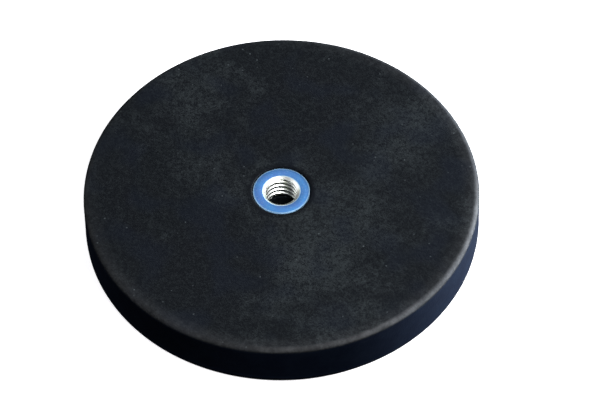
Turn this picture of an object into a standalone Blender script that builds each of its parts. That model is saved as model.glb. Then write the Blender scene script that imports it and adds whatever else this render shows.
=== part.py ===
"""Rubber-jacketed pot magnet with a flush M6 threaded bush.

A steel back plate carries two rings of disc magnets with alternating poles. A turned steel bush is riveted
into the plate, and a rubber jacket is moulded round everything but the bush's upper end.
Units are metres, +Z is up, and the origin is the centre of the contact face, which lies in the XY plane.
"""

import math

import bmesh
import bpy
from mathutils import Matrix, Vector

# Driving dimensions.
DISC_RADIUS = 0.033
DISC_HEIGHT = 0.0085
TOP_EDGE_RADIUS = 0.0012
FOOT_EDGE_RADIUS = 0.0006
CONTACT_SKIN = 0.0008
CLEARANCE = 0.0003

MAGNET_RADIUS = 0.005
MAGNET_HEIGHT = 0.003
MAGNET_CHAMFER = 0.00025
OUTER_RING_RADIUS = 0.0243
OUTER_RING_COUNT = 12
INNER_RING_RADIUS = 0.012
INNER_RING_COUNT = 6

PLATE_RADIUS = 0.030
PLATE_THICKNESS = 0.002
PLATE_EDGE_BREAK = 0.0002
KEY_HOLE_RADIUS = 0.002
KEY_HOLE_COUNT = 6
KEY_RING_RADIUS = 0.017

BUSH_RADIUS = 0.00475
BUSH_RECESS = 0.0001
BUSH_EDGE_BREAK = 0.0002
SPIGOT_RADIUS = 0.004
RIVET_HEIGHT = 0.0006
RIVET_TAPER = 0.0003

# ISO metric internal thread, M6 x 1.
THREAD_MAJOR_RADIUS = 0.003
THREAD_PITCH = 0.001
THREAD_FLANK_ANGLE = math.radians(30)
THREAD_ROOT_FLAT = THREAD_PITCH / 8
THREAD_MINOR_RADIUS = THREAD_MAJOR_RADIUS - 5 / 16 * math.sqrt(3) * THREAD_PITCH
COUNTERSINK_RADIUS = 0.00315
SCREW_TIP_POCKET_RADIUS = 0.0026
SCREW_TIP_POCKET_FLOOR = 0.0012

# Levels that follow from the stack: contact skin, magnets, plate, rubber back.
MAGNET_BOTTOM = CONTACT_SKIN + CLEARANCE
MAGNET_TOP = MAGNET_BOTTOM + MAGNET_HEIGHT
PLATE_BOTTOM = MAGNET_TOP + CLEARANCE
PLATE_TOP = PLATE_BOTTOM + PLATE_THICKNESS
BUSH_TOP = DISC_HEIGHT - BUSH_RECESS
BUSH_SEAT = PLATE_TOP + CLEARANCE
RIVET_TOP = PLATE_BOTTOM - CLEARANCE
BUSH_BOTTOM = RIVET_TOP - RIVET_HEIGHT

# Facets of the round pieces, and how far a cutter runs past the face that it cuts.
JACKET_STEPS = 96
PLATE_STEPS = 60
BUSH_STEPS = 40
MAGNET_STEPS = 24
KEY_STEPS = 16
OVERCUT = 0.001
GROOVE_OVERCUT = 0.00015
MERGE_DISTANCE = 0.00002
SMOOTH_BELOW = math.radians(35)


def clear_scene():
    """Removes the objects of the scene that the script starts in."""
    for old in list(bpy.data.objects):
        bpy.data.objects.remove(old, do_unlink=True)


def new_collection(name):
    """A collection linked to the scene."""
    made = bpy.data.collections.new(name)
    bpy.context.scene.collection.children.link(made)
    return made


def new_material(name, colour, roughness, metallic):
    """A Principled BSDF with a plain colour."""
    material = bpy.data.materials.new(name)
    material.use_nodes = True
    material.diffuse_color = (*colour, 1.0)
    shader = material.node_tree.nodes["Principled BSDF"]
    shader.inputs["Base Color"].default_value = (*colour, 1.0)
    shader.inputs["Roughness"].default_value = roughness
    shader.inputs["Metallic"].default_value = metallic
    return material


def object_from(name, mesh, collection, material=None):
    """An object for the mesh in the collection, with its material where it has one."""
    made = bpy.data.objects.new(name, mesh)
    collection.objects.link(made)
    if material:
        mesh.materials.append(material)
    return made


def mesh_from(name, bm):
    """A mesh made from the bmesh, which is then freed."""
    mesh = bpy.data.meshes.new(name)
    bm.to_mesh(mesh)
    bm.free()
    return mesh


def shade(mesh):
    """Smooth shading with sharp corners kept."""
    mesh.shade_smooth()
    mesh.set_sharp_from_angle(angle=SMOOTH_BELOW)


def apply_modifiers(piece):
    """Puts the shape that the piece's modifiers make into its mesh, and shades it."""
    bpy.context.view_layer.update()
    graph = bpy.context.evaluated_depsgraph_get()
    made = bpy.data.meshes.new_from_object(piece.evaluated_get(graph))
    made.name = piece.name
    piece.modifiers.clear()
    piece.data = made
    shade(made)


def as_cutter(piece):
    """Marks a piece as a helper that isn't part of the object."""
    piece.hide_render = True
    piece.display_type = "WIRE"
    return piece


def arc(centre_x, centre_z, radius, start, end, steps):
    """Profile points along an arc in the XZ plane, angles in degrees from +X towards +Z."""
    angles = [math.radians(start + (end - start) * i / steps) for i in range(steps + 1)]
    return [(centre_x + radius * math.cos(a), centre_z + radius * math.sin(a)) for a in angles]


def turned(name, profile, steps, collection, material=None, closed=False):
    """A piece turned about Z from (radius, height) points that run down its outer side."""
    bm = bmesh.new()
    points = [bm.verts.new((radius, 0.0, height)) for radius, height in profile]
    for first, second in zip(points, points[1:]):
        bm.edges.new((first, second))
    if closed:
        bm.edges.new((points[-1], points[0]))
    piece = object_from(name, mesh_from(name, bm), collection, material)
    screw = piece.modifiers.new("Turn", "SCREW")
    screw.axis = "Z"
    screw.angle = math.tau
    screw.steps = steps
    screw.render_steps = steps
    screw.use_merge_vertices = True
    screw.merge_threshold = MERGE_DISTANCE
    return piece


def ring_places(count, radius, first_angle):
    """Centres evenly spaced on a circle, as 2-D vectors."""
    angles = [first_angle + math.tau * i / count for i in range(count)]
    return [Vector((radius * math.cos(a), radius * math.sin(a))) for a in angles]


def cylinders(name, places, radius, bottom, top, steps, collection):
    """Upright cylinders that stand apart, joined as one cutter."""
    bm = bmesh.new()
    for place in places:
        middle = Matrix.Translation((place.x, place.y, (bottom + top) / 2))
        bmesh.ops.create_cone(
            bm,
            cap_ends=True,
            segments=steps,
            radius1=radius,
            radius2=radius,
            depth=top - bottom,
            matrix=middle,
        )
    return as_cutter(object_from(name, mesh_from(name, bm), collection))


def cut(piece, cutter):
    """Takes the cutter's shape out of the piece."""
    boolean = piece.modifiers.new("Cut " + cutter.name, "BOOLEAN")
    boolean.operation = "DIFFERENCE"
    boolean.solver = "EXACT"
    boolean.object = cutter


def magnet_places():
    """Centres of the outer and the inner ring of magnets. The outer ring is turned by half a step."""
    outer = ring_places(OUTER_RING_COUNT, OUTER_RING_RADIUS, math.pi / OUTER_RING_COUNT)
    inner = ring_places(INNER_RING_COUNT, INNER_RING_RADIUS, 0.0)
    return outer, inner


def key_places():
    """Centres of the holes in the plate, each midway between two inner magnets."""
    return ring_places(KEY_HOLE_COUNT, KEY_RING_RADIUS, math.pi / KEY_HOLE_COUNT)


def make_rubber_jacket(parts, cutters, material):
    """The moulded jacket: back, side wall, contact skin, and the webs and pillars between the metal pieces."""
    shoulder = arc(DISC_RADIUS - TOP_EDGE_RADIUS, DISC_HEIGHT - TOP_EDGE_RADIUS, TOP_EDGE_RADIUS, 90, 0, 5)
    foot = arc(DISC_RADIUS - FOOT_EDGE_RADIUS, FOOT_EDGE_RADIUS, FOOT_EDGE_RADIUS, 0, -90, 3)
    outline = [(0.0, DISC_HEIGHT), *shoulder, *foot, (0.0, 0.0)]
    jacket = turned("rubber_jacket", outline, JACKET_STEPS, parts, material)

    plate_room = cylinders(
        "plate_room",
        [Vector((0.0, 0.0))],
        PLATE_RADIUS + CLEARANCE,
        PLATE_BOTTOM - CLEARANCE,
        PLATE_TOP + CLEARANCE,
        PLATE_STEPS,
        cutters,
    )
    pillars = cylinders(
        "pillars",
        key_places(),
        KEY_HOLE_RADIUS - CLEARANCE,
        PLATE_BOTTOM - OVERCUT,
        PLATE_TOP + OVERCUT,
        KEY_STEPS,
        cutters,
    )
    cut(plate_room, pillars)
    outer, inner = magnet_places()
    magnet_rooms = cylinders(
        "magnet_rooms",
        outer + inner,
        MAGNET_RADIUS + CLEARANCE,
        CONTACT_SKIN,
        MAGNET_TOP + CLEARANCE,
        MAGNET_STEPS,
        cutters,
    )
    bush_room_radius = BUSH_RADIUS + CLEARANCE
    bush_room = turned(
        "bush_room",
        [
            (0.0, DISC_HEIGHT + OVERCUT),
            (bush_room_radius, DISC_HEIGHT + OVERCUT),
            (bush_room_radius, BUSH_BOTTOM - CLEARANCE),
            (SCREW_TIP_POCKET_RADIUS, BUSH_BOTTOM - CLEARANCE),
            (SCREW_TIP_POCKET_RADIUS, SCREW_TIP_POCKET_FLOOR),
            (0.0, SCREW_TIP_POCKET_FLOOR),
        ],
        BUSH_STEPS,
        cutters,
    )
    as_cutter(bush_room)
    for cutter in (plate_room, magnet_rooms, bush_room):
        cut(jacket, cutter)
    apply_modifiers(jacket)


def make_steel_plate(parts, cutters, material):
    """The stamped back plate that closes the magnetic circuit, with the rivet hole and six key holes."""
    outline = [
        (0.0, PLATE_TOP),
        (PLATE_RADIUS - PLATE_EDGE_BREAK, PLATE_TOP),
        (PLATE_RADIUS, PLATE_TOP - PLATE_EDGE_BREAK),
        (PLATE_RADIUS, PLATE_BOTTOM + PLATE_EDGE_BREAK),
        (PLATE_RADIUS - PLATE_EDGE_BREAK, PLATE_BOTTOM),
        (0.0, PLATE_BOTTOM),
    ]
    plate = turned("steel_plate", outline, PLATE_STEPS, parts, material)
    low, high = PLATE_BOTTOM - OVERCUT, PLATE_TOP + OVERCUT
    rivet_hole = cylinders(
        "rivet_hole",
        [Vector((0.0, 0.0))],
        SPIGOT_RADIUS + CLEARANCE,
        low,
        high,
        BUSH_STEPS,
        cutters,
    )
    key_holes = cylinders("key_holes", key_places(), KEY_HOLE_RADIUS, low, high, KEY_STEPS, cutters)
    cut(plate, rivet_hole)
    cut(plate, key_holes)
    apply_modifiers(plate)


def thread_groove(collection):
    """The helical groove of the internal thread, as a closed cutter that runs past both ends of the bush."""
    inner_radius = THREAD_MINOR_RADIUS - GROOVE_OVERCUT
    slope = math.tan(THREAD_FLANK_ANGLE)
    half_root = THREAD_ROOT_FLAT / 2
    half_mouth = half_root + (THREAD_MAJOR_RADIUS - inner_radius) * slope
    turns = math.ceil((BUSH_TOP - BUSH_BOTTOM + 2 * OVERCUT) / THREAD_PITCH)
    start = BUSH_BOTTOM - OVERCUT
    section = [
        (inner_radius, start - half_mouth),
        (THREAD_MAJOR_RADIUS, start - half_root),
        (THREAD_MAJOR_RADIUS, start + half_root),
        (inner_radius, start + half_mouth),
    ]
    # Half a facet on from the bore's own corners, so that no two edges coincide.
    to_start = Matrix.Rotation(math.pi / BUSH_STEPS, 3, "Z")
    bm = bmesh.new()
    corners = [to_start @ Vector((radius, 0.0, height)) for radius, height in section]
    face = bm.faces.new([bm.verts.new(corner) for corner in corners])
    steps = turns * BUSH_STEPS
    bmesh.ops.spin(
        bm,
        geom=[face, *face.edges, *face.verts],
        cent=(0.0, 0.0, 0.0),
        axis=(0.0, 0.0, 1.0),
        dvec=(0.0, 0.0, THREAD_PITCH / BUSH_STEPS),
        angle=turns * math.tau,
        steps=steps,
    )
    bmesh.ops.triangulate(bm, faces=bm.faces)
    bmesh.ops.recalc_face_normals(bm, faces=bm.faces)
    return as_cutter(object_from("thread_groove", mesh_from("thread_groove", bm), collection))


def make_threaded_bush(parts, cutters, material):
    """The turned bush: a head that ends level with the jacket, a spigot through the plate, and a rivet rim."""
    countersink_depth = COUNTERSINK_RADIUS - THREAD_MINOR_RADIUS
    outline = [
        (COUNTERSINK_RADIUS, BUSH_TOP),
        (BUSH_RADIUS - BUSH_EDGE_BREAK, BUSH_TOP),
        (BUSH_RADIUS, BUSH_TOP - BUSH_EDGE_BREAK),
        (BUSH_RADIUS, BUSH_SEAT),
        (SPIGOT_RADIUS, BUSH_SEAT),
        (SPIGOT_RADIUS, RIVET_TOP),
        (BUSH_RADIUS, RIVET_TOP),
        (BUSH_RADIUS, BUSH_BOTTOM + RIVET_TAPER),
        (BUSH_RADIUS - RIVET_TAPER, BUSH_BOTTOM),
        (COUNTERSINK_RADIUS, BUSH_BOTTOM),
        (THREAD_MINOR_RADIUS, BUSH_BOTTOM + countersink_depth),
        (THREAD_MINOR_RADIUS, BUSH_TOP - countersink_depth),
    ]
    bush = turned("threaded_bush", outline, BUSH_STEPS, parts, material, closed=True)
    cut(bush, thread_groove(cutters))
    apply_modifiers(bush)


def make_magnets(parts, material):
    """Disc magnets with broken edges, one object each, on the plate's underside."""
    bm = bmesh.new()
    bmesh.ops.create_cone(
        bm,
        cap_ends=True,
        segments=MAGNET_STEPS,
        radius1=MAGNET_RADIUS,
        radius2=MAGNET_RADIUS,
        depth=MAGNET_HEIGHT,
    )
    rims = [edge for edge in bm.edges if edge.verts[0].co.z * edge.verts[1].co.z > 0]
    bmesh.ops.bevel(bm, geom=rims, offset=MAGNET_CHAMFER, segments=1, affect="EDGES")
    mesh = mesh_from("disc_magnet", bm)
    mesh.materials.append(material)
    shade(mesh)
    middle = (MAGNET_BOTTOM + MAGNET_TOP) / 2
    for ring, places in zip(("outer", "inner"), magnet_places()):
        for number, place in enumerate(places, start=1):
            magnet = bpy.data.objects.new(f"magnet_{ring}_{number:02d}", mesh)
            parts.objects.link(magnet)
            magnet.location = (place.x, place.y, middle)


def main():
    clear_scene()
    parts = new_collection("pot_magnet")
    cutters = new_collection("cutters")
    rubber = new_material("black_rubber", (0.014, 0.016, 0.019), 0.75, 0.0)
    plate_steel = new_material("galvanised_steel", (0.55, 0.56, 0.58), 0.42, 1.0)
    bush_steel = new_material("blue_passivated_zinc", (0.32, 0.50, 0.78), 0.3, 1.0)
    nickel = new_material("nickel_plate", (0.72, 0.70, 0.66), 0.18, 1.0)
    make_rubber_jacket(parts, cutters, rubber)
    make_steel_plate(parts, cutters, plate_steel)
    make_threaded_bush(parts, cutters, bush_steel)
    make_magnets(parts, nickel)


main()
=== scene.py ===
"""Looks of a rubber coated pot magnet with an M6 bush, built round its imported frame.

Laid out as an add-on: one operator makes each piece or group of like pieces, and one makes the stage.
Everything is in metres, +Z is up, and the contact face lies on the floor at z = 0.
"""

import math

import bpy
from mathutils import Matrix, Vector


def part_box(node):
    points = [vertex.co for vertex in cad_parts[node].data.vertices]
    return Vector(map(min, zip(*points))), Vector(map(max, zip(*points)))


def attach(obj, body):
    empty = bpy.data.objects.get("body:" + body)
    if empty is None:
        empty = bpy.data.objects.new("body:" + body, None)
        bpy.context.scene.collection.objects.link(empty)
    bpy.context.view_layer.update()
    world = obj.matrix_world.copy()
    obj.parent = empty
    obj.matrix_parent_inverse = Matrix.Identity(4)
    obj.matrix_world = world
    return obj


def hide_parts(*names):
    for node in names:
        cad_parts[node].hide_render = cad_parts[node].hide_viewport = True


bl_info = {
    "name": "Rubber Coated Pot Magnet",
    "version": (1, 0, 0),
    "blender": (4, 5, 0),
    "location": "3D View > Sidebar > Pot Magnet",
    "description": "Builds a rubber coated pot magnet and a stage for it round its packed frame",
    "category": "Add Mesh",
}

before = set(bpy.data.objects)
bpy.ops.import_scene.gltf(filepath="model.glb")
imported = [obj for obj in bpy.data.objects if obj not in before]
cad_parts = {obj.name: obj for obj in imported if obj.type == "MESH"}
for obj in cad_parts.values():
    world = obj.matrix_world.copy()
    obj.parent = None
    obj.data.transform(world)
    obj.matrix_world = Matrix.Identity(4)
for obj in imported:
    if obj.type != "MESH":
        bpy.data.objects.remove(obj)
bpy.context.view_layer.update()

# Sizes that the frame holds.
JACKET_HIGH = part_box("rubber_jacket")[1]
PLATE_LOW, PLATE_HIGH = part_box("steel_plate")
BUSH_LOW, BUSH_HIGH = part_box("threaded_bush")
OUTER_MAGNETS = sorted(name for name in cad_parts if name.startswith("magnet_outer"))
INNER_MAGNETS = sorted(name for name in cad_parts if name.startswith("magnet_inner"))
FIRST_OUTER_LOW, FIRST_OUTER_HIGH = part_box(OUTER_MAGNETS[0])
FIRST_INNER_LOW, FIRST_INNER_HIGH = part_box(INNER_MAGNETS[0])
MAGNET_RADIUS = (FIRST_OUTER_HIGH.x - FIRST_OUTER_LOW.x) / 2
DISC_RADIUS = JACKET_HIGH.x
DISC_HEIGHT = JACKET_HIGH.z
CLEARANCE = PLATE_LOW.z - FIRST_OUTER_HIGH.z

# Each ring of magnets: its nodes, and the middle of its first magnet.
RINGS = {
    "Outer": (OUTER_MAGNETS, (FIRST_OUTER_LOW + FIRST_OUTER_HIGH) / 2),
    "Inner": (INNER_MAGNETS, (FIRST_INNER_LOW + FIRST_INNER_HIGH) / 2),
}

# ISO metric thread: share of the pitch that the groove's floor takes, and its flank's depth over height.
ROOT_FLAT_SHARE = 1 / 8
FLANK_SLOPE = 1 / math.tan(math.radians(30))

# The countersink is 132 degrees across.
COUNTERSINK_SLOPE = math.tan(math.radians(132 / 2))

MERGE_DISTANCE = 1e-6
SMOOTH_BELOW = math.radians(32)

# How far a cutter runs past the faces that it opens, and the facets round each kind of cutter.
OVERCUT = 0.001
PLATE_ROOM_SIDES = 128
MAGNET_ROOM_SIDES = 48
KEY_HOLE_SIDES = 48
PILLAR_SIDES = 32


# --------------------------------------
# Kinds of setting


def metres(name, description, default, **limits):
    """A length in metres, shown to a hundredth of a millimetre."""
    return bpy.props.FloatProperty(
        name=name, description=description, default=default, unit="LENGTH", precision=5, **limits
    )


def degrees(name, description, default):
    """An angle, given here in degrees."""
    return bpy.props.FloatProperty(
        name=name, description=description, default=math.radians(default), subtype="ANGLE"
    )


def plain_number(name, description, default, **limits):
    """A plain number from 0 up."""
    return bpy.props.FloatProperty(name=name, description=description, default=default, min=0.0, **limits)


def whole_number(name, description, default, **limits):
    """A whole number."""
    return bpy.props.IntProperty(name=name, description=description, default=default, **limits)


def rgb(name, description, red, green, blue):
    """A colour, in linear light."""
    return bpy.props.FloatVectorProperty(
        name=name, description=description, default=(red, green, blue, 1.0), subtype="COLOR", size=4,
        min=0.0, max=1.0,
    )


# --------------------------------------
# Node trees


class Value:
    """A number in a node tree. Arithmetic on it adds Math nodes."""

    def __init__(self, graph, socket):
        self.graph = graph
        self.socket = socket

    def __add__(self, other):
        return self.graph.math("ADD", self, other)

    def __sub__(self, other):
        return self.graph.math("SUBTRACT", self, other)

    def __rsub__(self, other):
        return self.graph.math("SUBTRACT", other, self)

    def __mul__(self, other):
        return self.graph.math("MULTIPLY", self, other)

    def __truediv__(self, other):
        return self.graph.math("DIVIDE", self, other)

    def __rtruediv__(self, other):
        return self.graph.math("DIVIDE", other, self)

    __radd__ = __add__
    __rmul__ = __mul__


class Graph:
    """A node tree that is written as Python expressions."""

    def __init__(self, tree):
        self.tree = tree

    def node(self, kind, inputs=None, **settings):
        """A node of this type. Settings are made first, then its sockets take their values or links."""
        made = self.tree.nodes.new(kind)
        for name, setting in settings.items():
            setattr(made, name, setting)
        for key, given in (inputs or {}).items():
            self.feed(made.inputs[key], given)
        return made

    def feed(self, socket, given):
        """Gives a socket a value or a link."""
        source = given.socket if isinstance(given, Value) else given
        if isinstance(source, bpy.types.NodeSocket):
            self.tree.links.new(source, socket)
        else:
            socket.default_value = source

    def out(self, made, name=0):
        """A node's output, ready for arithmetic."""
        return Value(self, made.outputs[name])

    def math(self, operation, *values):
        """A Math node's result."""
        inputs = dict(enumerate(values))
        return self.out(self.node("ShaderNodeMath", inputs, operation=operation))

    def between(self, value, low, high):
        """0 up to low and 1 from high, with a soft start and end. It falls where low is above high."""
        inputs = {"Value": value, "From Min": low, "From Max": high}
        return self.out(self.node("ShaderNodeMapRange", inputs, interpolation_type="SMOOTHSTEP"))

    def distance(self, x, y):
        """How far a point is from the origin of a plane."""
        return self.math("SQRT", x * x + y * y)

    def xyz(self, vector):
        """The three numbers of a vector."""
        made = self.node("ShaderNodeSeparateXYZ", {0: vector})
        return [self.out(made, axis) for axis in "XYZ"]

    def vector(self, x, y, z):
        """A vector made of three numbers."""
        return self.out(self.node("ShaderNodeCombineXYZ", {"X": x, "Y": y, "Z": z}))

    def noise(self, vector, scale, detail=2.0, roughness=0.5, distortion=0.0):
        """Noise about 0.5."""
        inputs = {
            "Vector": vector,
            "Scale": scale,
            "Detail": detail,
            "Roughness": roughness,
            "Distortion": distortion,
        }
        return self.out(self.node("ShaderNodeTexNoise", inputs), "Fac")

    def mix(self, share, first, second):
        """A colour between two."""
        inputs = {0: share, 6: first, 7: second}
        return self.out(self.node("ShaderNodeMix", inputs, data_type="RGBA"), 2)

    def vector_math(self, operation, inputs):
        """A Vector Math node's result."""
        return self.out(self.node("ShaderNodeVectorMath", inputs, operation=operation))

    def scaled(self, vector, x, y, z):
        """A vector with each axis multiplied."""
        return self.vector_math("MULTIPLY", {0: vector, 1: (x, y, z)})

    def moved(self, vector, x, y, z):
        """A vector with an offset added."""
        return self.vector_math("ADD", {0: vector, 1: (x, y, z)})


class Shape(Graph):
    """A Geometry Nodes tree, with a geometry input and a geometry output."""

    def __init__(self, name):
        super().__init__(bpy.data.node_groups.new(name, "GeometryNodeTree"))
        self.tree.interface.new_socket("Geometry", in_out="INPUT", socket_type="NodeSocketGeometry")
        self.tree.interface.new_socket("Geometry", in_out="OUTPUT", socket_type="NodeSocketGeometry")
        self.entry = self.node("NodeGroupInput")
        self.exit = self.node("NodeGroupOutput")

    def input(self, name, kind="Float"):
        """A named input of the tree."""
        self.tree.interface.new_socket(name, in_out="INPUT", socket_type="NodeSocket" + kind)
        return self.out(self.entry, name)

    def numbers(self, *names):
        """Named inputs of the tree, each a plain number or a length."""
        return [self.input(name) for name in names]

    def finish(self, geometry, material=None):
        """Ends the tree: what it makes is made real and takes its material."""
        if material:
            real = self.node("GeometryNodeRealizeInstances", {0: geometry})
            inputs = {"Geometry": self.out(real), "Material": material}
            geometry = self.out(self.node("GeometryNodeSetMaterial", inputs))
        self.feed(self.exit.inputs[0], geometry)
        return self.tree

    def position(self):
        """Each point's place."""
        return self.out(self.node("GeometryNodeInputPosition"))

    def placed(self, geometry, position):
        """The geometry with its points put at a position."""
        inputs = {"Geometry": geometry, "Position": position}
        return self.out(self.node("GeometryNodeSetPosition", inputs))

    def sheet(self, columns, rows):
        """A grid, with how far round (0 to a full turn) and in which row each of its points is."""
        inputs = {"Size X": 1.0, "Size Y": 1.0, "Vertices X": columns + 1, "Vertices Y": rows}
        grid = self.out(self.node("GeometryNodeMeshGrid", inputs))
        across, along, _ = self.xyz(self.position())
        turn = (across + 0.5) * math.tau
        row = self.math("ROUND", (along + 0.5) * (rows - 1))
        return grid, turn, row

    def rolled(self, grid, turn, radius, height):
        """The grid rolled up about Z, its edges joined and its faces turned outwards."""
        x = radius * self.math("COSINE", turn)
        y = radius * self.math("SINE", turn)
        wall = self.placed(grid, self.vector(x, y, height))
        return self.out(self.node("GeometryNodeFlipFaces", {0: wall}))

    def joined(self, *parts):
        """Several geometries in one, with points that meet merged."""
        join = self.node("GeometryNodeJoinGeometry")
        for part in parts:
            self.feed(join.inputs[0], part)
        inputs = {"Geometry": self.out(join), "Distance": MERGE_DISTANCE}
        return self.out(self.node("GeometryNodeMergeByDistance", inputs))

    def turned(self, segments):
        """The tree's own section turned about Z, by the shared tree."""
        tree = bpy.data.node_groups.get("turned_section") or turned_section_tree()
        inputs = {"Geometry": self.out(self.entry, "Geometry"), "Segments": segments}
        return self.out(self.node("GeometryNodeGroup", inputs, node_tree=tree))

    def rods(self, how_many, ring_radius, first_angle, radius, low, high, sides):
        """Upright rods, evenly spaced on a circle, to cut holes with."""
        cylinder = {"Vertices": sides, "Radius": radius, "Depth": high - low}
        rod = self.out(self.node("GeometryNodeMeshCylinder", cylinder))
        return self.ring(rod, how_many, ring_radius, first_angle, (high + low) * 0.5)

    def ring(self, piece, how_many, ring_radius, first_angle, height):
        """The piece repeated evenly round a circle."""
        circle = {"Vertices": how_many, "Radius": ring_radius}
        inputs = {
            "Geometry": self.out(self.node("GeometryNodeMeshCircle", circle)),
            "Translation": self.vector(0.0, 0.0, height),
            "Rotation": self.vector(0.0, 0.0, first_angle),
        }
        places = self.out(self.node("GeometryNodeTransform", inputs))
        spread = self.node("GeometryNodeInstanceOnPoints", {"Points": places, "Instance": piece})
        return self.out(self.node("GeometryNodeRealizeInstances", {0: self.out(spread)}))

    def cut(self, body, *cutters):
        """The body with the cutters' shapes taken out."""
        first = {"Mesh 1": body}
        boolean = self.node("GeometryNodeMeshBoolean", first, operation="DIFFERENCE", solver="EXACT")
        for cutter in cutters:
            self.feed(boolean.inputs["Mesh 2"], cutter)
        return self.out(boolean, "Mesh")


def turned_section_tree():
    """Turns a section about Z. Its points are in order, up the inner side and down the outer side."""
    shape = Shape("turned_section")
    segments = shape.input("Segments", "Int")
    section = shape.out(shape.entry, "Geometry")
    size = shape.node("GeometryNodeAttributeDomainSize", {0: section})
    grid, turn, row = shape.sheet(segments, shape.out(size, "Point Count"))
    inputs = {"Geometry": section, "Value": shape.position(), "Index": row}
    point = shape.node("GeometryNodeSampleIndex", inputs, data_type="FLOAT_VECTOR")
    radius, _, height = shape.xyz(shape.out(point))
    return shape.finish(shape.joined(shape.rolled(grid, turn, radius, height)))


# --------------------------------------
# Sections and pieces


def arc(centre, radius, start, end, steps):
    """Section points along an arc, angles in degrees from outwards towards up."""
    angles = [math.radians(start + (end - start) * step / steps) for step in range(steps + 1)]
    return [(centre[0] + radius * math.cos(a), centre[1] + radius * math.sin(a)) for a in angles]


def run(start, end, steps):
    """Section points along a straight run, without its two ends."""
    shares = [step / steps for step in range(1, steps)]
    return [(start[0] + (end[0] - start[0]) * s, start[1] + (end[1] - start[1]) * s) for s in shares]


def stretched(points, spacing):
    """The section with points added on its long straight runs, so that fine relief can form on them."""
    filled = []
    for start, end in zip(points, points[1:]):
        filled.append(start)
        steps = math.ceil(math.dist(start, end) / spacing)
        filled.extend(run(start, end, steps))
    filled.append(points[-1])
    return filled


def mesh_piece(name, section, tree, values, replaced):
    """Runs a tree on the section's points, and puts the plain mesh that it makes in the part's body."""
    mesh = bpy.data.meshes.new(name)
    mesh.from_pydata([(radius, 0.0, height) for radius, height in section], [], [])
    maker = bpy.data.objects.new(name + "_maker", mesh)
    bpy.context.scene.collection.objects.link(maker)
    modifier = maker.modifiers.new("Shape", "NODES")
    modifier.node_group = tree
    for item in tree.interface.items_tree:
        if item.item_type == "SOCKET" and item.in_out == "INPUT" and item.name in values:
            modifier[item.identifier] = values[item.name]
    bpy.context.view_layer.update()
    made = bpy.data.meshes.new_from_object(maker.evaluated_get(bpy.context.evaluated_depsgraph_get()))
    bpy.data.objects.remove(maker)
    bpy.data.meshes.remove(mesh)
    if not made.polygons:
        raise RuntimeError(f"{name} came out empty")
    made.name = name
    made.shade_smooth()
    made.set_sharp_from_angle(angle=SMOOTH_BELOW)
    piece = bpy.data.objects.new(name, made)
    bpy.context.scene.collection.objects.link(piece)
    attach(piece, "root")
    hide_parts(*replaced)
    return piece


def new_material(name, **constants):
    """A material with one Principled shader, whose even values are set on its own sockets."""
    material = bpy.data.materials.new(name)
    material.use_nodes = True
    graph = Graph(material.node_tree)
    shader = material.node_tree.nodes["Principled BSDF"]
    for socket, constant in constants.items():
        shader.inputs[socket.replace("_", " ").title().replace("Ior", "IOR")].default_value = constant
    place = graph.out(graph.node("ShaderNodeTexCoord"), "Object")
    return material, graph, shader, place


def bumped(graph, shader, height, distance):
    """Gives the shader a surface relief, from a height between 0 and 1 over this distance."""
    inputs = {"Strength": 1.0, "Distance": distance, "Height": height}
    graph.feed(shader.inputs["Normal"], graph.out(graph.node("ShaderNodeBump", inputs)))


# --------------------------------------
# Rubber jacket


# Where dust has settled (above 0) or been wiped off (below 0): x, y, reach in metres, and how much.
DUST_PATCHES = (
    (0.021, 0.011, 0.012, 0.50),
    (0.014, 0.002, 0.010, 0.25),
    (0.003, -0.015, 0.013, 0.35),
    (-0.017, 0.013, 0.012, 0.15),
    (0.002, 0.017, 0.014, -0.50),
    (-0.001, 0.0265, 0.009, -0.45),
    (0.000, -0.0280, 0.008, -0.30),
    (0.021, -0.0030, 0.006, -0.30),
    (-0.010, -0.012, 0.012, -0.45),
    (-0.014, -0.021, 0.011, -0.50),
    (-0.026, -0.006, 0.014, -0.45),
    (0.029, 0.003, 0.007, -0.50),
    (0.0245, -0.0135, 0.006, -0.40),
    (-0.0210, -0.0130, 0.009, -0.25),
)

# The rubber's noise patterns: offset, cells in a metre, detail, roughness and distortion.
RUBBER_PATTERNS = {
    "clouds": ((0.37, 0.21, 0.13), 62.0, 3.0, 0.55, 0.5),
    "ragged": ((0.1, 0.5, 0.0), 110.0, 2.0, 0.6, 0.0),
    "tint": ((0.7, 0.2, 0.0), 130.0, 1.0, 0.5, 0.0),
    "patches": ((0.3, 0.1, 0.0), 300.0, 3.0, 0.6, 0.0),
    "mottle": ((0.2, 0.0, 0.4), 950.0, 2.0, 0.6, 0.0),
    "grain": ((0.0, 0.0, 0.0), 2400.0, 2.0, 0.75, 0.0),
    "grit": ((0.0, 0.0, 0.0), 5200.0, 1.0, 0.5, 0.0),
}
SPECKS_PER_METRE = 820.0

# Lengths over which the rubber's looks change.
RAGGED_REACH = 0.022
PATCHY_REACH = 0.008
# The ring round the bush where painted shade darkens the back.
SHADE_RING_START = 0.0003
SHADE_RING_END = 0.0013
DUSTY_EDGE_WIDTH = 0.0032
CONTACT_DEPTH = 0.0002
WALL_BLEND_START = 0.003
WALL_BLEND_END = 0.0012

# The side of the back's edge that is rubbed most and carries the painted highlight, from +X.
WORN_AND_LIT_SIDE = math.radians(-48)


def rubber_patterns(graph, place):
    """The rubber's noise patterns by name, with the fine grain that two of them make together."""
    made = {
        name: graph.noise(graph.moved(place, *offset), scale, detail, roughness, distortion)
        for name, (offset, scale, detail, roughness, distortion) in RUBBER_PATTERNS.items()
    }
    grain = graph.between(made["grain"], 0.38, 0.64)
    made["fine"] = grain * 0.5 + graph.between(made["grit"], 0.38, 0.66) * 0.5
    return made


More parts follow.
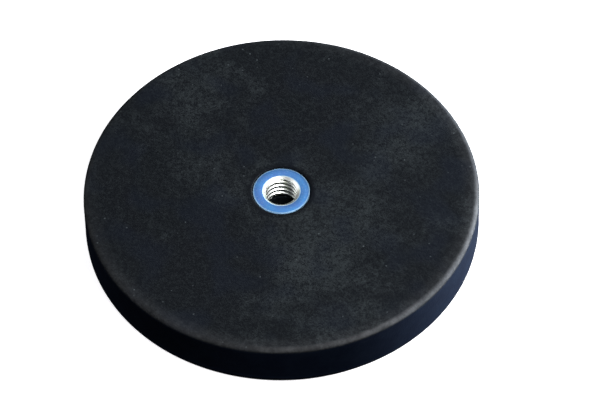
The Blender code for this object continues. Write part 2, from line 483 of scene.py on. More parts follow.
def bloom_share(graph, dustiness, place, pattern):
    """How much grey bloom shows: in clouds, thicker where dust lies, and taken away in a ring of painted
    shade round the bush.
    """
    x, y, z = graph.xyz(place)
    patches, fine, mottle = pattern["patches"], pattern["fine"], pattern["mottle"]
    bloom = graph.between(pattern["clouds"], 0.34, 0.68) * 0.48 + graph.between(patches, 0.4, 0.7) * 0.26
    for dust_x, dust_y, reach, amount in DUST_PATCHES:
        off = graph.distance(x - dust_x, y - dust_y)
        off = off + (pattern["ragged"] - 0.5) * RAGGED_REACH + (patches - 0.5) * PATCHY_REACH
        bloom = bloom + graph.between(off, reach * 1.2, 0.0) * amount
    bloom = graph.math("MAXIMUM", bloom, 0.17) * dustiness
    bloom = bloom * (0.15 + fine * 1.2 + graph.between(mottle, 0.35, 0.65) * 0.4)
    bloom = bloom + (fine - 0.5) * 0.34 + (mottle - 0.5) * 0.3
    # Painted shade: a darker ring round the bush, where the gap beside it lies in shadow.
    from_bush = graph.distance(x, y) - BUSH_HIGH.x
    clean = graph.between(from_bush, SHADE_RING_END, SHADE_RING_START)
    clean = clean * graph.between(z, DISC_HEIGHT / 2, DISC_HEIGHT)
    return graph.math("MAXIMUM", bloom - clean * 0.6, 0.0)


def speck_share(graph, place):
    """Where single specks of dust lie."""
    specks = graph.node("ShaderNodeTexVoronoi", {"Vector": place, "Scale": SPECKS_PER_METRE})
    size = graph.out(graph.node("ShaderNodeSeparateColor", {0: specks.outputs["Color"]}))
    return graph.between(graph.out(specks, "Distance"), 0.15, 0.05) * graph.between(size, 0.70, 1.0) * 0.5


def edge_wear_and_highlight_share(graph, settings, place, pattern):
    """How far the back's edge is rubbed grey and painted with a highlight, most on the lit side, with a
    dusty band inside it.
    """
    x, y, z = graph.xyz(place)
    inwards = DISC_RADIUS - graph.distance(x, y)
    down = DISC_HEIGHT - z
    top = settings.top_edge_radius
    towards_worn_lit_side = x * math.cos(WORN_AND_LIT_SIDE) + y * math.sin(WORN_AND_LIT_SIDE)
    worn = graph.between(towards_worn_lit_side, 0.004, 0.033)
    edge = graph.between(inwards, top * 1.3, top * 0.35) * graph.between(down, top * 0.75, top * 0.35)
    # The edge is lighter partly where it is rubbed and partly as a painted highlight on the side that the
    # light falls on.
    edge = edge * (0.10 + worn * worn * 0.62)
    edge = edge * (0.35 + graph.between(pattern["patches"], 0.3, 0.7) * 0.65) * (0.5 + pattern["grain"])
    dusty = graph.between(inwards, DUSTY_EDGE_WIDTH, top * 0.6) * pattern["mottle"]
    dusty = dusty * graph.between(towards_worn_lit_side, -0.034, 0.004) * 0.16
    return edge * settings.edge_wear_and_highlight + dusty


def contact_share(graph, settings, place):
    """How far the contact face is scuffed, most where the magnets stand proud under the skin."""
    height = graph.xyz(place)[2]
    scuffs = graph.noise(graph.scaled(place, 0.03, 1.0, 1.0), scale=2600.0, detail=3.0, roughness=0.7)
    contact = graph.between(height, CONTACT_DEPTH, 0.0) * graph.between(scuffs, 0.52, 0.80)
    proud = graph.between(height, 0.0, -settings.mark_height)
    return contact * (0.15 + proud * 0.30) + proud * 0.05


def wall_share(graph, settings, place):
    """1 on the side wall, where the blue sheen is painted, and 0 on the two flat faces."""
    x, y, z = graph.xyz(place)
    inwards = DISC_RADIUS - graph.distance(x, y)
    down = DISC_HEIGHT - z
    top, foot = settings.top_edge_radius, settings.foot_edge_radius
    wall = graph.between(down, top * 0.6, top) * graph.between(inwards, WALL_BLEND_START, WALL_BLEND_END)
    return wall * graph.between(z, 0.0, foot * 0.5)


def rubber_material(settings):
    """Matt black rubber: cloudy bloom, moulded grain, specks of dust, a worn edge partly painted as a
    highlight, and a side wall painted bluer as a painted sheen.
    """
    material, graph, shader, place = new_material("moulded_rubber", specular_ior_level=0.07)
    pattern = rubber_patterns(graph, place)
    patches, grain = pattern["patches"], pattern["grain"]
    bloom = bloom_share(graph, settings.dustiness, place, pattern)
    back = graph.mix(bloom, settings.colour, settings.bloom_colour)
    back = graph.mix(graph.between(pattern["tint"], 0.47, 0.67) * 0.35, back, settings.blue_colour)
    back = graph.mix(speck_share(graph, place), back, settings.dust_colour)
    back = graph.mix(edge_wear_and_highlight_share(graph, settings, place, pattern), back, settings.worn_and_highlight_colour)
    back = graph.mix(contact_share(graph, settings, place), back, settings.worn_and_highlight_colour)
    # The side wall is painted lighter and bluer than the back: a painted blue sheen on rubber that is as
    # black as the back.
    side = graph.between(patches, 0.35, 0.65) * 0.6 + (1 - pattern["fine"]) * 0.4
    side = graph.mix(side, settings.wall_sheen_colour, settings.wall_dark_sheen_colour)
    wall = wall_share(graph, settings, place)
    graph.feed(shader.inputs["Base Color"], graph.mix(wall, back, side))
    graph.feed(shader.inputs["Roughness"], 0.62 + patches * 0.16 + grain * 0.1 - wall * 0.1)
    bumped(graph, shader, grain * 0.55 + patches * 0.45, distance=0.00006)
    return material


def jacket_tree():
    """The jacket: the turned section, uneven, with the magnets' marks and the rooms for the metal."""
    shape = Shape("rubber_jacket_shape")
    segments = shape.input("Segments", "Int")
    unevenness, mark_height = shape.numbers("Unevenness", "Mark Height")
    how_many, ring, first = {}, {}, {}
    for which in RINGS:
        how_many[which] = shape.input(which + " Count", "Int")
        ring[which], first[which] = shape.numbers(which + " Ring Radius", which + " First Angle")
    magnet_radius, magnet_low, magnet_high = shape.numbers("Magnet Radius", "Magnet Low", "Magnet High")
    plate_radius, plate_low, plate_high = shape.numbers("Plate Radius", "Plate Low", "Plate High")
    lip_radius, pillar_radius = shape.numbers("Lip Radius", "Pillar Radius")
    key_ring, clearance = shape.numbers("Key Ring Radius", "Clearance")
    material = shape.input("Material", "Material")

    body = shape.turned(segments)
    place = shape.position()
    x, y, z = shape.xyz(place)
    radius = shape.distance(x, y)
    around = shape.math("ARCTAN2", y, x)
    swell = shape.noise(place, scale=60.0, detail=1.0) - 0.5
    ripple = shape.noise(place, scale=320.0, detail=2.0) - 0.5
    lift = (swell * 1.5 + ripple * 0.35) * unevenness * shape.between(radius, lip_radius, lip_radius * 1.2)
    for which in RINGS:
        step = math.tau / how_many[which]
        folded = shape.math("WRAP", around - first[which], step * 0.5, step * -0.5)
        off_x = radius * shape.math("COSINE", folded) - ring[which]
        off_y = radius * shape.math("SINE", folded)
        off = shape.distance(off_x, off_y)
        mark = shape.between(off, magnet_radius + clearance * 2, magnet_radius - clearance)
        lift = lift + mark * mark_height * shape.between(z, CONTACT_DEPTH, 0.0)
    normal = shape.out(shape.node("GeometryNodeInputNormal"))
    inputs = {"Geometry": body, "Offset": shape.vector_math("SCALE", {0: normal, "Scale": lift})}
    body = shape.out(shape.node("GeometryNodeSetPosition", inputs))

    plate_inputs = {
        "Vertices": PLATE_ROOM_SIDES,
        "Radius": plate_radius + clearance,
        "Depth": plate_high - plate_low + clearance * 2,
    }
    plate_room = shape.out(shape.node("GeometryNodeMeshCylinder", plate_inputs))
    middle = shape.vector(0.0, 0.0, (plate_low + plate_high) * 0.5)
    plate_room = shape.out(
        shape.node("GeometryNodeTransform", {"Geometry": plate_room, "Translation": middle})
    )
    key_count = how_many["Inner"]
    key_first = first["Inner"] + math.pi / key_count
    low, high = plate_low - OVERCUT, plate_high + OVERCUT
    pillars = shape.rods(key_count, key_ring, key_first, pillar_radius, low, high, PILLAR_SIDES)
    plate_room = shape.cut(plate_room, pillars)
    room = magnet_radius + clearance, magnet_low - clearance, magnet_high + clearance, MAGNET_ROOM_SIDES
    rooms = [shape.rods(how_many[which], ring[which], first[which], *room) for which in RINGS]
    return shape.finish(shape.cut(body, plate_room, *rooms), material)


def jacket_section(jacket, bush):
    """From the foot of the screw-tip pocket, up the bush's room, over the back and down the side wall."""
    room_radius = BUSH_HIGH.x + jacket.bush_gap
    room_floor = BUSH_LOW.z - CLEARANCE
    top, foot, lip = jacket.top_edge_radius, jacket.foot_edge_radius, jacket.lip_radius
    line, half_line = jacket.parting_height, jacket.parting_line / 2
    points = [
        (0.0, jacket.pocket_floor),
        (bush.tip_pocket_radius, jacket.pocket_floor),
        (bush.tip_pocket_radius, room_floor),
        (room_radius, room_floor),
        *arc((room_radius + lip, DISC_HEIGHT - lip), lip, 180, 90, 6),
        *arc((DISC_RADIUS - top, DISC_HEIGHT - top), top, 90, 0, 14),
        (DISC_RADIUS, line + half_line),
        (DISC_RADIUS + half_line * 0.35, line),
        (DISC_RADIUS, line - half_line),
        *arc((DISC_RADIUS - foot, foot), foot, 0, -90, 8),
        (0.0, 0.0),
    ]
    return stretched(points, jacket.relief_spacing)


class JacketSettings(bpy.types.PropertyGroup):
    top_edge_radius: metres(
        "Top edge", "Radius of the rounded edge round the back", 0.0009, min=0.0005, max=0.003
    )
    foot_edge_radius: metres(
        "Foot edge", "Radius of the edge round the contact face", 0.0006, min=0.0002, max=0.002
    )
    bush_gap: metres(
        "Bush gap", "Width of the line between the bush and the rubber", 0.0001, min=0.00005, max=0.0003
    )
    lip_radius: metres("Lip", "Radius of the rubber's edge round the bush", 0.0003, min=0.00002, max=0.0004)
    parting_height: metres("Parting line height", "Height of the mould's parting line", 0.0010)
    parting_line: metres("Parting line", "Width of the mould's parting line", 0.00012)
    pocket_floor: metres("Pocket floor", "Height of the floor under the threaded hole", 0.0012)
    relief_spacing: metres("Relief spacing", "Largest distance between points along the section", 0.0006)
    unevenness: metres("Unevenness", "How far the moulded faces swell and sink", 0.00005)
    mark_height: metres("Magnet marks", "How far each magnet shows through the contact skin", 0.00006)
    segments: whole_number("Segments", "Facets round the disc", 256, min=48, max=512)
    # Scales the rubbed top edge together with its painted highlight.
    edge_wear_and_highlight: plain_number(
        "Edge wear", "How far the top edge is rubbed grey", 0.8, max=1.0, subtype="FACTOR"
    )
    dustiness: plain_number("Dustiness", "How much bloom and dust lie on the back", 0.9, max=2.0)
    colour: rgb("Rubber", "Colour of clean rubber", 0.0029, 0.0041, 0.0060)
    bloom_colour: rgb("Bloom", "Colour of the grey bloom on the back", 0.022, 0.027, 0.030)
    blue_colour: rgb("Blue patches", "Colour of the cooler patches", 0.005, 0.008, 0.016)
    dust_colour: rgb("Dust", "Colour of the dust specks", 0.11, 0.13, 0.14)
    # Used for the rubbed top edge with its painted highlight, and for the scuffs on the contact face.
    worn_and_highlight_colour: rgb("Worn edge", "Colour of the rubbed top edge", 0.135, 0.138, 0.146)
    # The two side wall colours are a painted blue sheen; the rubber itself is as black as the back.
    wall_sheen_colour: rgb("Side wall", "Colour of the side wall", 0.0062, 0.0107, 0.0222)
    wall_dark_sheen_colour: rgb(
        "Side wall, darker", "Colour of the darker patches on the side wall", 0.0036, 0.0065, 0.0160
    )


class MAGNET_OT_jacket(bpy.types.Operator):
    """Makes the moulded rubber jacket"""

    bl_idname = "magnet.jacket"
    bl_label = "Rubber Jacket"

    def execute(self, context):
        jacket, plate = context.scene.magnet_jacket, context.scene.magnet_plate
        values = {
            "Segments": jacket.segments,
            "Unevenness": jacket.unevenness,
            "Mark Height": jacket.mark_height,
            "Magnet Radius": MAGNET_RADIUS,
            "Magnet Low": FIRST_OUTER_LOW.z,
            "Magnet High": FIRST_OUTER_HIGH.z,
            "Plate Radius": PLATE_HIGH.x,
            "Plate Low": PLATE_LOW.z,
            "Plate High": PLATE_HIGH.z,
            "Lip Radius": BUSH_HIGH.x + jacket.bush_gap + jacket.lip_radius,
            "Pillar Radius": plate.key_hole_radius - CLEARANCE,
            "Key Ring Radius": plate.key_ring_radius,
            "Clearance": CLEARANCE,
            "Material": rubber_material(jacket),
        }
        for which, (nodes, place) in RINGS.items():
            values[which + " Count"] = len(nodes)
            values[which + " Ring Radius"] = place.xy.length
            values[which + " First Angle"] = math.atan2(place.y, place.x)
        section = jacket_section(jacket, context.scene.magnet_bush)
        mesh_piece("jacket", section, jacket_tree(), values, ["rubber_jacket"])
        return {"FINISHED"}


# --------------------------------------
# Threaded bush


def zinc_material(bush):
    """Blue passivated zinc: a blue film on the turned faces, faintly iridescent metal in the thread, a
    partly painted highlight on the chamfer and a painted highlight at the edge of the hole.
    """
    material, graph, shader, place = new_material("blue_passivated_zinc")
    x, y, z = graph.xyz(place)
    radius = graph.distance(x, y)
    drift = graph.noise(place, scale=420.0, detail=2.0, roughness=0.5)
    fine = graph.noise(place, scale=3800.0, detail=2.0, roughness=0.6)
    turning = graph.noise(graph.vector(radius, 0.0, z), scale=16000.0, detail=1.0)

    film = graph.mix(graph.between(drift, 0.3, 0.7), bush.film_colour, bush.film_dark_colour)
    film = graph.mix(graph.between(fine, 0.52, 0.78) * 0.22, film, bush.zinc_colour)
    sheen = graph.noise(graph.scaled(place, 1.0, 1.0, 0.5), scale=700.0, detail=1.0)
    bright = graph.mix(graph.between(sheen, 0.45, 0.7) * 0.5, bush.zinc_colour, bush.iridescent_colour)

    face = graph.between(radius, bush.countersink_radius - 0.00004, bush.countersink_radius + 0.00008)
    # The chamfer's light line is partly worn film and partly a painted highlight: paler and less metallic
    # all round.
    rim = graph.between(radius, BUSH_HIGH.x - bush.edge_break * 1.15, BUSH_HIGH.x - bush.edge_break * 0.8)
    film = graph.mix(rim * 0.75, film, bush.worn_and_highlight_colour)
    # Painted highlight: a pale, less metallic line at the hole's edge stands in for light reflected there.
    hole_highlight = graph.between(radius, bush.countersink_radius + 0.0001, bush.countersink_radius)
    hole_highlight = hole_highlight * graph.between(radius, bush.countersink_radius - 0.0002, bush.countersink_radius)
    finish = graph.mix(hole_highlight * 0.8, graph.mix(face, bright, film), bush.hole_highlight_colour)
    graph.feed(shader.inputs["Base Color"], finish)
    graph.feed(shader.inputs["Metallic"], 1 - rim * 0.7 - hole_highlight * 0.6)
    graph.feed(shader.inputs["Roughness"], 0.32 + face * 0.08 + drift * 0.08 + fine * 0.06)
    bumped(graph, shader, turning * 0.6 + fine * 0.4, distance=0.000006)
    return material


def bush_tree():
    """The bush: the turned outside joined to a threaded wall, whose rows of points follow the helix."""
    shape = Shape("threaded_bush_shape")
    segments = shape.input("Segments", "Int")
    rows = shape.input("Rows per Turn", "Int")
    pitch, major, minor = shape.numbers("Pitch", "Major Radius", "Minor Radius")
    start, countersink = shape.numbers("Start Angle", "Countersink Radius")
    rounding, low, high = shape.numbers("Rounding", "Low", "High")
    material = shape.input("Material", "Material")

    turns = (high - low) / pitch + 2
    grid, turn, row = shape.sheet(segments, shape.math("CEIL", turns * rows) + 1)
    phase = row / rows
    climb = low - pitch + (phase + (turn + start) / math.tau) * pitch
    height = shape.math("MINIMUM", shape.math("MAXIMUM", climb, low), high)
    nearest = shape.math("ABSOLUTE", phase - shape.math("ROUND", phase)) * pitch
    flank = major - (nearest - pitch * (ROOT_FLAT_SHARE / 2)) * FLANK_SLOPE
    wall = shape.math("SMOOTH_MIN", shape.math("SMOOTH_MAX", flank, minor, rounding), major, rounding)
    cone = countersink - shape.math("MINIMUM", high - height, height - low) * COUNTERSINK_SLOPE
    wall = shape.math("SMOOTH_MAX", wall, cone, rounding)
    thread = shape.rolled(grid, turn, wall, height)
    outside = shape.turned(segments)
    return shape.finish(shape.joined(thread, outside), material)


def bush_section(bush):
    """The bush's outside, from the countersink's rim over the end face and down to the riveted foot."""
    top, low, radius = BUSH_HIGH.z, BUSH_LOW.z, BUSH_HIGH.x
    seat = PLATE_HIGH.z + CLEARANCE
    rivet_top = PLATE_LOW.z - CLEARANCE
    cut, soft, taper = bush.edge_break, bush.edge_rounding, bush.rivet_taper
    return [
        (bush.countersink_radius, top),
        (radius - cut, top),
        (radius - soft, top - cut * 0.3),
        *arc((radius - soft, top - cut * 0.3 - soft), soft, 60, 0, 3),
        (radius, seat + soft),
        (radius - soft, seat),
        (bush.spigot_radius, seat),
        (bush.spigot_radius, rivet_top),
        (radius - soft, rivet_top),
        (radius, rivet_top - soft),
        *arc((radius - taper, low + taper), taper, 0, -90, 6),
        (bush.countersink_radius, low),
    ]


class BushSettings(bpy.types.PropertyGroup):
    pitch: metres("Pitch", "Pitch of the M6 thread", 0.001)
    major_radius: metres("Major radius", "Radius at the thread's roots", 0.003)
    minor_radius: metres(
        "Minor radius", "Radius at the thread's crests, as a tapped hole leaves them", 0.00257
    )
    start_angle: degrees("Thread start", "Turn of the thread about its axis", 0.0)
    thread_rounding: metres("Thread rounding", "How far the thread's corners are rounded", 0.00003)
    countersink_radius: metres("Countersink", "Radius of the countersink at the end face", 0.00315)
    edge_break: metres("Edge break", "Width of the chamfer round the end face", 0.0002)
    edge_rounding: metres("Edge rounding", "Radius on the chamfer's corners", 0.00005)
    spigot_radius: metres("Spigot", "Radius of the neck through the plate", 0.004)
    rivet_taper: metres("Rivet rounding", "Radius on the riveted foot", 0.0003)
    tip_pocket_radius: metres("Tip pocket", "Radius of the room for a screw's tip", 0.0026)
    segments: whole_number("Segments", "Facets round the bush", 128, min=32, max=256)
    rows: whole_number(
        "Rows per turn",
        "Rows of facets in one turn of thread, a multiple of 16",
        32,
        min=16,
        max=64,
        step=16,
    )
    film_colour: rgb("Blue film", "Colour of the blue passivation", 0.110, 0.360, 0.800)
    film_dark_colour: rgb("Deep film", "Colour where the film is thicker", 0.120, 0.290, 0.720)
    # On the chamfer this is partly worn film and partly a painted highlight.
    worn_and_highlight_colour: rgb("Worn edge", "Colour of the film on the edges", 0.30, 0.50, 0.68)
    # A painted highlight at the edge of the hole, given as a pale thin film.
    hole_highlight_colour: rgb("Hole edge", "Colour of the thin film at the edge of the hole", 0.50, 0.75, 0.90)
    zinc_colour: rgb("Zinc", "Colour of the bright zinc", 0.86, 0.89, 0.88)
    iridescent_colour: rgb("Iridescence", "Colour of the thin film in the thread", 0.72, 0.78, 0.52)


class MAGNET_OT_bush(bpy.types.Operator):
    """Makes the threaded bush"""

    bl_idname = "magnet.bush"
    bl_label = "Threaded Bush"

    def execute(self, context):
        bush = context.scene.magnet_bush
        values = {
            "Segments": bush.segments,
            "Rows per Turn": bush.rows,
            "Pitch": bush.pitch,
            "Major Radius": bush.major_radius,
            "Minor Radius": bush.minor_radius,
            "Start Angle": bush.start_angle,
            "Countersink Radius": bush.countersink_radius,
            "Rounding": bush.thread_rounding,
            "Low": BUSH_LOW.z,
            "High": BUSH_HIGH.z,
            "Material": zinc_material(bush),
        }
        mesh_piece("bush", bush_section(bush), bush_tree(), values, ["threaded_bush"])
        return {"FINISHED"}


# --------------------------------------
# Steel plate


def sheet_steel_material(plate):
    """Galvanised sheet steel: rolling lines along X, a soft spangle and a few darker stains."""
    material, graph, shader, place = new_material("galvanised_sheet", metallic=1.0)
    rolled = graph.noise(graph.scaled(place, 0.05, 1.0, 1.0), scale=5200.0, detail=2.0)
    spangle = graph.node("ShaderNodeTexVoronoi", {"Vector": place, "Scale": 260.0})
    tone = graph.out(graph.node("ShaderNodeSeparateColor", {0: spangle.outputs["Color"]}))
    stain = graph.noise(place, scale=110.0, detail=4.0, roughness=0.6)
    colour = graph.mix(tone * 0.5, plate.colour, plate.spangle_colour)
    colour = graph.mix(graph.between(stain, 0.58, 0.75) * 0.5, colour, plate.stain_colour)
    graph.feed(shader.inputs["Base Color"], colour)
    graph.feed(shader.inputs["Roughness"], 0.32 + tone * 0.14 + rolled * 0.12)
    bumped(graph, shader, rolled, distance=0.000008)
    return material


def plate_tree():
    """The plate: the turned disc with the rivet hole in its section, and its key holes cut."""
    shape = Shape("steel_plate_shape")
    segments = shape.input("Segments", "Int")
    key_count = shape.input("Key Count", "Int")
    ring, first, radius = shape.numbers("Key Ring Radius", "First Angle", "Key Hole Radius")
    low, high = shape.numbers("Low", "High")
    material = shape.input("Material", "Material")
    disc = shape.turned(segments)
    cutters = shape.rods(key_count, ring, first, radius, low - OVERCUT, high + OVERCUT, KEY_HOLE_SIDES)
    return shape.finish(shape.cut(disc, cutters), material)


def plate_section(plate, bush):
    """Up the rivet hole, over the upper face, down the sheared rim and back along the lower face."""
    hole = bush.spigot_radius + CLEARANCE
    low, high, radius, soft = PLATE_LOW.z, PLATE_HIGH.z, PLATE_HIGH.x, plate.edge_radius
    return [
        (hole, low + soft / 3),
        *arc((hole + soft, high - soft), soft, 180, 90, 5),
        *arc((radius - soft, high - soft), soft, 90, 0, 5),
        (radius, low + soft / 3),
        (radius - soft / 3, low),
        (hole + soft / 3, low),
        (hole, low + soft / 3),
    ]


class PlateSettings(bpy.types.PropertyGroup):
    key_hole_radius: metres("Key hole", "Radius of the holes that the rubber grows through", 0.002)
    key_ring_radius: metres("Key ring", "Radius of the circle that the key holes lie on", 0.017)
    edge_radius: metres("Rolled edge", "Radius that the punch leaves on the upper edge", 0.0002)
    segments: whole_number("Segments", "Facets round the plate", 160, min=48, max=256)
    colour: rgb("Zinc", "Colour of the galvanised face", 0.55, 0.57, 0.59)
    spangle_colour: rgb("Spangle", "Colour of the darker zinc crystals", 0.42, 0.44, 0.47)
    stain_colour: rgb("Stain", "Colour of the white rust and adhesive stains", 0.30, 0.29, 0.26)


class MAGNET_OT_plate(bpy.types.Operator):
    """Makes the steel plate that carries the magnets and the bush"""

    bl_idname = "magnet.plate"
    bl_label = "Steel Plate"

    def execute(self, context):
        plate = context.scene.magnet_plate
        nodes, place = RINGS["Inner"]
        values = {
            "Segments": plate.segments,
            "Key Count": len(nodes),
            "Key Ring Radius": plate.key_ring_radius,
            "First Angle": math.atan2(place.y, place.x) + math.pi / len(nodes),
            "Key Hole Radius": plate.key_hole_radius,
            "Low": PLATE_LOW.z,
            "High": PLATE_HIGH.z,
            "Material": sheet_steel_material(plate),
        }
        section = plate_section(plate, context.scene.magnet_bush)
        mesh_piece("back_plate", section, plate_tree(), values, ["steel_plate"])
        return {"FINISHED"}


# --------------------------------------
# Disc magnets


def nickel_material(magnets):
    """Bright nickel plating, with a soft orange peel, fine scuffs and duller handling marks."""
    material, graph, shader, place = new_material("bright_nickel", metallic=1.0)
    peel = graph.noise(place, scale=1500.0, detail=1.0)
    scuffs = graph.noise(graph.scaled(place, 1.0, 0.06, 1.0), scale=4200.0, detail=2.0)
    marks = graph.between(graph.noise(place, scale=300.0, detail=3.0, roughness=0.6), 0.52, 0.72)
    graph.feed(shader.inputs["Base Color"], graph.mix(marks * 0.6, magnets.colour, magnets.dull_colour))
    graph.feed(shader.inputs["Roughness"], 0.12 + marks * 0.18 + graph.between(scuffs, 0.55, 0.8) * 0.15)
    bumped(graph, shader, peel * 0.7 + scuffs * 0.3, distance=0.000006)
    return material


def magnet_ring_tree():
    """One turned disc magnet, repeated round a circle."""
    shape = Shape("magnet_ring_shape")
    segments = shape.input("Segments", "Int")
    how_many = shape.input("Count", "Int")
    ring, first = shape.numbers("Ring Radius", "First Angle")
    material = shape.input("Material", "Material")
    disc = shape.turned(segments)
    return shape.finish(shape.ring(disc, how_many, ring, first, 0.0), material)


def magnet_section(magnets):
    """Half of a disc with rounded edges."""
    low, high, soft = FIRST_OUTER_LOW.z, FIRST_OUTER_HIGH.z, magnets.edge_radius
    return [
        (0.0, high),
        *arc((MAGNET_RADIUS - soft, high - soft), soft, 90, 0, 5),
        *arc((MAGNET_RADIUS - soft, low + soft), soft, 0, -90, 5),
        (0.0, low),
    ]


class MagnetSettings(bpy.types.PropertyGroup):
    edge_radius: metres("Edge", "Radius on each magnet's edges", 0.0003)
    segments: whole_number("Segments", "Facets round each magnet", 56, min=24, max=128)
    colour: rgb("Nickel", "Colour of the nickel plating", 0.72, 0.69, 0.63)
    dull_colour: rgb("Handling marks", "Colour of the duller marks", 0.52, 0.50, 0.47)


class MAGNET_OT_magnets(bpy.types.Operator):
    """Makes the outer and the inner ring of disc magnets"""

    bl_idname = "magnet.magnets"
    bl_label = "Disc Magnets"

    def execute(self, context):
        magnets = context.scene.magnet_magnets
        tree, section, material = magnet_ring_tree(), magnet_section(magnets), nickel_material(magnets)
        for name, which in (("outer_magnets", "Outer"), ("inner_magnets", "Inner")):
            nodes, place = RINGS[which]
            values = {
                "Segments": magnets.segments,
                "Count": len(nodes),
                "Ring Radius": place.xy.length,
                "First Angle": math.atan2(place.y, place.x),
                "Material": material,
            }
            mesh_piece(name, section, tree, values, nodes)
        return {"FINISHED"}


# --------------------------------------
# Stage


class StageSettings(bpy.types.PropertyGroup):
    floor_size: metres("Floor", "Side of the floor", 8.0)
    floor_opening: metres("Floor opening", "Radius of the opening hidden under the contact face", 0.0320)
    floor_drop: metres("Floor drop", "How far the floor lies under the contact face", 0.00008)
    floor_colour: rgb("Floor colour", "Colour of the plain floor", 0.86, 0.86, 0.87)
    floor_glow: plain_number("Floor glow", "Strength of the lit table under the floor", 0.9)
    underlight: plain_number("Underlight", "Strength of the light on the underside", 6.0)
    fill: plain_number("Fill", "Strength of the faint light from all round", 0.007)
    lens: metres("Lens", "Focal length on a 36 mm sensor", 0.27)
    distance: metres("Distance", "From the camera to the middle of the back", 0.7495)
    elevation: degrees("Elevation", "Camera's angle above the floor", 52.45)
    roll: degrees("Roll", "Turn of the camera about its line of sight", -1.2)
    aside: metres("Aside", "How far right of the bush the camera aims", 0.0031)
    below: metres("Below", "How far below the bush the camera aims", 0.00243)


WHITE = (1.0, 1.0, 1.0)

# Each light: azimuth in degrees from +X towards +Y, elevation, distance, width, height, power and colour.
LIGHTS = {
    "left_softbox": (160.0, 40.0, 0.80, 0.45, 0.75, 2.1, WHITE),
    "right_softbox": (0.0, 42.0, 0.80, 0.45, 0.75, 1.2, WHITE),
    "back_softbox": (90.0, 55.0, 0.80, 0.60, 0.50, 0.8, WHITE),
    "front_top": (-90.0, 66.0, 0.70, 0.22, 0.22, 0.10, WHITE),
    "rim": (-46.0, 62.0, 0.50, 0.15, 0.10, 1.8, WHITE),
    "key": (22.0, 6.0, 0.28, 0.16, 0.05, 4.2, (0.90, 0.95, 1.0)),
}

# The light from below: how wide its source looks, and its turn about X from straight down.
UNDERLIGHT_SPREAD = 0.02
UNDERLIGHT_TURN = math.radians(124)

FLOOR_SEGMENTS = 96


def aimed(back):
    """The turn of a light that shines along -back and stands upright."""
    right = Vector((0.0, 0.0, 1.0)).cross(back).normalized()
    return Matrix((right, back.cross(right), back)).transposed()


def add_light(name, azimuth, elevation, distance, width, height, power, colour):
    """A rectangular area light that faces the object."""
    light = bpy.data.lights.new(name, "AREA")
    light.shape = "RECTANGLE"
    light.size = width
    light.size_y = height
    light.energy = power
    light.color = colour
    lamp = bpy.data.objects.new(name, light)
    bpy.context.scene.collection.objects.link(lamp)
    a, e = math.radians(azimuth), math.radians(elevation)
    back = Vector((math.cos(a) * math.cos(e), math.sin(a) * math.cos(e), math.sin(e)))
    lamp.visible_camera = False
    lamp.matrix_world = Matrix.Translation(back * distance) @ aimed(back).to_4x4()


def add_underlight(settings):
    """A light that shines up through the opening and rakes across the contact face."""
    light = bpy.data.lights.new("underlight", "SUN")
    light.energy = settings.underlight
    light.angle = UNDERLIGHT_SPREAD
    lamp = bpy.data.objects.new("underlight", light)
    bpy.context.scene.collection.objects.link(lamp)
    lamp.matrix_world = Matrix.Rotation(UNDERLIGHT_TURN, 4, "X")


def add_floor(settings):
    """A plain pale floor, which gives the dark object no light.

    It is clear from below and open under the contact face, so that the underside can be seen and lit.
    """
    vertices = []
    for radius in (settings.floor_opening, settings.floor_size / 2):
        turns = [math.tau * step / FLOOR_SEGMENTS for step in range(FLOOR_SEGMENTS)]
        vertices.extend((radius * math.cos(a), radius * math.sin(a), -settings.floor_drop) for a in turns)
    pairs = [(step, (step + 1) % FLOOR_SEGMENTS) for step in range(FLOOR_SEGMENTS)]
    faces = [(near, near + FLOOR_SEGMENTS, far + FLOOR_SEGMENTS, far) for near, far in pairs]
    mesh = bpy.data.meshes.new("floor")
    mesh.from_pydata(vertices, [], faces)
    floor = bpy.data.objects.new("floor", mesh)
    bpy.context.scene.collection.objects.link(floor)
    material, graph, shader, _ = new_material("pale_floor", specular_ior_level=0.1, roughness=0.9)
    shader.inputs["Base Color"].default_value = settings.floor_colour
    shader.inputs["Emission Color"].default_value = settings.floor_colour
    shader.inputs["Emission Strength"].default_value = settings.floor_glow
    material.cycles.emission_sampling = "NONE"
    below = graph.out(graph.node("ShaderNodeNewGeometry"), "Backfacing")
    clear = graph.out(graph.node("ShaderNodeBsdfTransparent"))
    mixed = graph.node("ShaderNodeMixShader", {0: below, 1: shader.outputs["BSDF"], 2: clear})
    graph.feed(material.node_tree.nodes["Material Output"].inputs["Surface"], graph.out(mixed))
    mesh.materials.append(material)
    floor.visible_diffuse = False
    floor.visible_glossy = False


def add_camera(settings):
    """The camera, turned a little about its line of sight."""
    e = settings.elevation
    back = Vector((0.0, -math.cos(e), math.sin(e)))
    level_right = Vector((1.0, 0.0, 0.0))
    level_up = back.cross(level_right)
    right = level_right * math.cos(settings.roll) + level_up * math.sin(settings.roll)
    up = back.cross(right)
    target = Vector((0.0, 0.0, DISC_HEIGHT)) + right * settings.aside - up * settings.below
    data = bpy.data.cameras.new("camera")
    data.sensor_width = 36.0
    data.lens = settings.lens * 1000
    data.clip_start = settings.distance / 10
    data.clip_end = settings.floor_size * 2
    camera = bpy.data.objects.new("camera", data)
    bpy.context.scene.collection.objects.link(camera)
    turn = Matrix((right, up, back)).transposed().to_4x4()
    camera.matrix_world = Matrix.Translation(target + back * settings.distance) @ turn
    bpy.context.scene.camera = camera


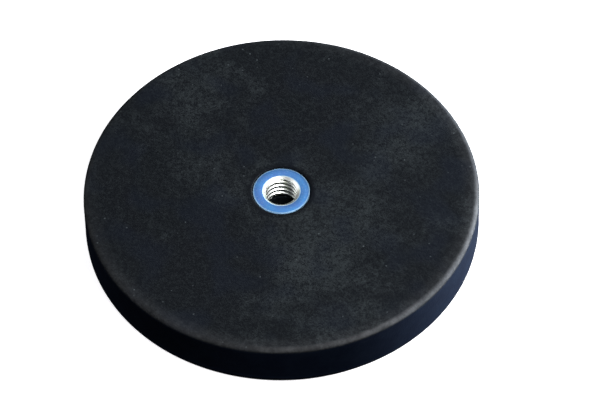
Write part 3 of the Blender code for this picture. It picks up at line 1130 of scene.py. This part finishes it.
class MAGNET_OT_stage(bpy.types.Operator):
    """Makes the floor, the lights and the camera"""

    bl_idname = "magnet.stage"
    bl_label = "Stage"

    def execute(self, context):
        settings = context.scene.magnet_stage
        add_floor(settings)
        for name, facts in LIGHTS.items():
            add_light(name, *facts)
        add_underlight(settings)
        world = bpy.data.worlds.new("studio")
        world.use_nodes = True
        graph = Graph(world.node_tree)
        backdrop = world.node_tree.nodes["Background"]
        backdrop.inputs["Color"].default_value = (1.0, 1.0, 1.0, 1.0)
        seen = graph.out(graph.node("ShaderNodeLightPath"), "Is Camera Ray")
        graph.feed(backdrop.inputs["Strength"], settings.fill + seen * (1.0 - settings.fill))
        context.scene.world = world
        context.scene.view_settings.view_transform = "Standard"
        add_camera(settings)
        return {"FINISHED"}


class MAGNET_PT_panel(bpy.types.Panel):
    """Lists the pieces and their settings"""

    bl_idname = "MAGNET_PT_panel"
    bl_label = "Pot Magnet"
    bl_space_type = "VIEW_3D"
    bl_region_type = "UI"
    bl_category = "Pot Magnet"

    def draw(self, context):
        for operator, (pointer, group) in STEPS.items():
            box = self.layout.box()
            box.operator(operator)
            settings = getattr(context.scene, pointer)
            for name in group.__annotations__:
                box.prop(settings, name)


# Each operator in the order that it runs, with its settings.
STEPS = {
    "magnet.magnets": ("magnet_magnets", MagnetSettings),
    "magnet.plate": ("magnet_plate", PlateSettings),
    "magnet.bush": ("magnet_bush", BushSettings),
    "magnet.jacket": ("magnet_jacket", JacketSettings),
    "magnet.stage": ("magnet_stage", StageSettings),
}
OPERATORS = (MAGNET_OT_magnets, MAGNET_OT_plate, MAGNET_OT_bush, MAGNET_OT_jacket, MAGNET_OT_stage)


def register():
    for pointer, group in STEPS.values():
        bpy.utils.register_class(group)
        setattr(bpy.types.Scene, pointer, bpy.props.PointerProperty(type=group))
    for operator in OPERATORS:
        bpy.utils.register_class(operator)
    bpy.utils.register_class(MAGNET_PT_panel)


def unregister():
    bpy.utils.unregister_class(MAGNET_PT_panel)
    for operator in reversed(OPERATORS):
        bpy.utils.unregister_class(operator)
    for pointer, group in reversed(STEPS.values()):
        delattr(bpy.types.Scene, pointer)
        bpy.utils.unregister_class(group)


def main():
    """Builds every piece and the stage."""
    register()
    for operator in STEPS:
        family, name = operator.split(".")
        getattr(getattr(bpy.ops, family), name)()


if __name__ == "__main__":
    main()
